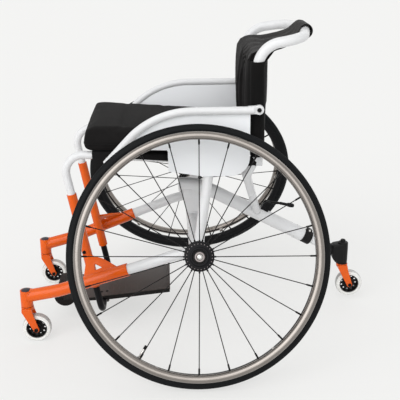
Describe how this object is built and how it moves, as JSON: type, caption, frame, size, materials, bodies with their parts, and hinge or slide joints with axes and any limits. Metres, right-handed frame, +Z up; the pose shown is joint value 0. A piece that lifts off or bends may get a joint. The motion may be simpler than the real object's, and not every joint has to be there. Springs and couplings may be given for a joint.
{
  "type": "tennis wheelchair",
  "caption": "Rigid sports wheelchair for tennis: tube frame, strongly cambered spoked wheels with handrims, swivelling front casters, sliding rear caster, footplate, cushion and low back.",
  "frame": {"origin": "on the floor, under the middle of the chair's length and width", "axes": "+X towards the chair's back, +Y to the chair's right, +Z up"},
  "size_m": [0.9144, 0.933, 0.7786],
  "materials": {
    "orange_paint": "gloss",
    "white_paint": "gloss",
    "black_anodised": "satin black",
    "polished_steel": "polished",
    "titanium": "bare titanium, brushed",
    "black_rubber": "matte",
    "clear_urethane": "smooth, cream",
    "black_plastic": "satin",
    "grey_plastic": "satin",
    "black_fabric": "woven, matte"
  },
  "bodies": {
    "frame": {"camber_tube": "white_paint", "rear_beam": "white_paint", "tube_end_clamp": "black_plastic", "lever_clamp": "black_anodised", "back_frame": "white_paint", "seat_cushion": "black_fabric", "seat_sling": "black_fabric", "back_upholstery": "black_fabric", "left_axle": "polished_steel", "left_caster_stem_bearing": "polished_steel", "left_caster_arm": "orange_paint", "left_stem_cap": "grey_plastic", "left_side_tube": "white_paint", "left_axle_strut": "white_paint", "left_rear_strut": "white_paint", "left_seat_rail": "white_paint", "left_side_guard": "white_paint", "left_guard_bolt": "black_anodised", "right_axle": "polished_steel", "right_caster_stem_bearing": "polished_steel", "right_caster_arm": "orange_paint", "right_stem_cap": "grey_plastic", "right_side_tube": "white_paint", "right_axle_strut": "white_paint", "right_rear_strut": "white_paint", "right_seat_rail": "white_paint", "right_side_guard": "white_paint", "right_guard_bolt": "black_anodised"},
    "left_wheel": {"left_tyre": "black_rubber", "left_rim": "black_anodised", "left_spoked_hub": "black_anodised", "left_handrim": "titanium", "left_outer_bearing": "polished_steel", "left_inner_bearing": "polished_steel"},
    "left_release_button": {"left_axle_button": "polished_steel"},
    "left_caster_swivel": {"left_caster_fork": "orange_paint", "left_caster_axle": "polished_steel"},
    "left_caster_wheel": {"left_caster_tyre": "clear_urethane", "left_caster_core": "black_plastic"},
    "right_wheel": {"right_tyre": "black_rubber", "right_rim": "black_anodised", "right_spoked_hub": "black_anodised", "right_handrim": "titanium", "right_outer_bearing": "polished_steel", "right_inner_bearing": "polished_steel"},
    "right_release_button": {"right_axle_button": "polished_steel"},
    "right_caster_swivel": {"right_caster_fork": "orange_paint", "right_caster_axle": "polished_steel"},
    "right_caster_wheel": {"right_caster_tyre": "clear_urethane", "right_caster_core": "black_plastic"},
    "anti_tip": {"anti_tip_tube": "white_paint", "rear_caster_housing": "black_plastic", "rear_caster_stem_bearing": "polished_steel"},
    "rear_caster_swivel": {"rear_caster_fork": "orange_paint", "rear_caster_axle": "polished_steel"},
    "rear_caster_wheel": {"rear_caster_tyre": "clear_urethane", "rear_caster_core": "black_plastic"},
    "release_lever": {"quick_release_lever": "black_plastic"},
    "footrest": {"footrest_hanger": "black_anodised", "footplate": "grey_plastic"}
  },
  "joints": [
    {"name": "left_wheel_spin", "type": "hinge", "parent": "frame", "child": "left_wheel", "pos_m": [-0.01025, -0.33, 0.28733], "axis": [0, -0.9397, 0.342], "continuous": true},
    {"name": "left_button_press", "type": "slide", "parent": "frame", "child": "left_release_button", "axis": [0, 0.9397, -0.342], "range_m": [0, 0.004], "stiffness_N_per_m": 800},
    {"name": "left_caster_turn", "type": "hinge", "parent": "frame", "child": "left_caster_swivel", "pos_m": [-0.44175, -0.175, 0.0965], "axis": [0, 0, 1], "continuous": true},
    {"name": "left_caster_spin", "type": "hinge", "parent": "left_caster_swivel", "child": "left_caster_wheel", "pos_m": [-0.42075, -0.175, 0.0365], "axis": [0, 1, 0], "continuous": true},
    {"name": "right_wheel_spin", "type": "hinge", "parent": "frame", "child": "right_wheel", "pos_m": [-0.01025, 0.33, 0.28733], "axis": [0, 0.9397, 0.342], "continuous": true},
    {"name": "right_button_press", "type": "slide", "parent": "frame", "child": "right_release_button", "axis": [0, -0.9397, -0.342], "range_m": [0, 0.004], "stiffness_N_per_m": 800},
    {"name": "right_caster_turn", "type": "hinge", "parent": "frame", "child": "right_caster_swivel", "pos_m": [-0.44175, 0.175, 0.0965], "axis": [0, 0, 1], "continuous": true},
    {"name": "right_caster_spin", "type": "hinge", "parent": "right_caster_swivel", "child": "right_caster_wheel", "pos_m": [-0.42075, 0.175, 0.0365], "axis": [0, 1, 0], "continuous": true},
    {"name": "anti_tip_slide", "type": "slide", "parent": "frame", "child": "anti_tip", "axis": [0.8824, 0, -0.4706], "range_m": [-0.05, 0.06]},
    {"name": "rear_caster_turn", "type": "hinge", "parent": "anti_tip", "child": "rear_caster_swivel", "pos_m": [0.39975, 0, 0.118], "axis": [0, 0, 1], "continuous": true},
    {"name": "rear_caster_spin", "type": "hinge", "parent": "rear_caster_swivel", "child": "rear_caster_wheel", "pos_m": [0.42075, 0, 0.058], "axis": [0, 1, 0], "continuous": true},
    {"name": "release_lever_turn", "type": "hinge", "parent": "frame", "child": "release_lever", "pos_m": [0.19129, 0, 0.30006], "axis": [0, -1, 0], "range_deg": [0, 120]},
    {"name": "footrest_height", "type": "slide", "parent": "frame", "child": "footrest", "axis": [-0.187, 0, 0.9824], "range_m": [-0.03, 0.03]}
  ]
}
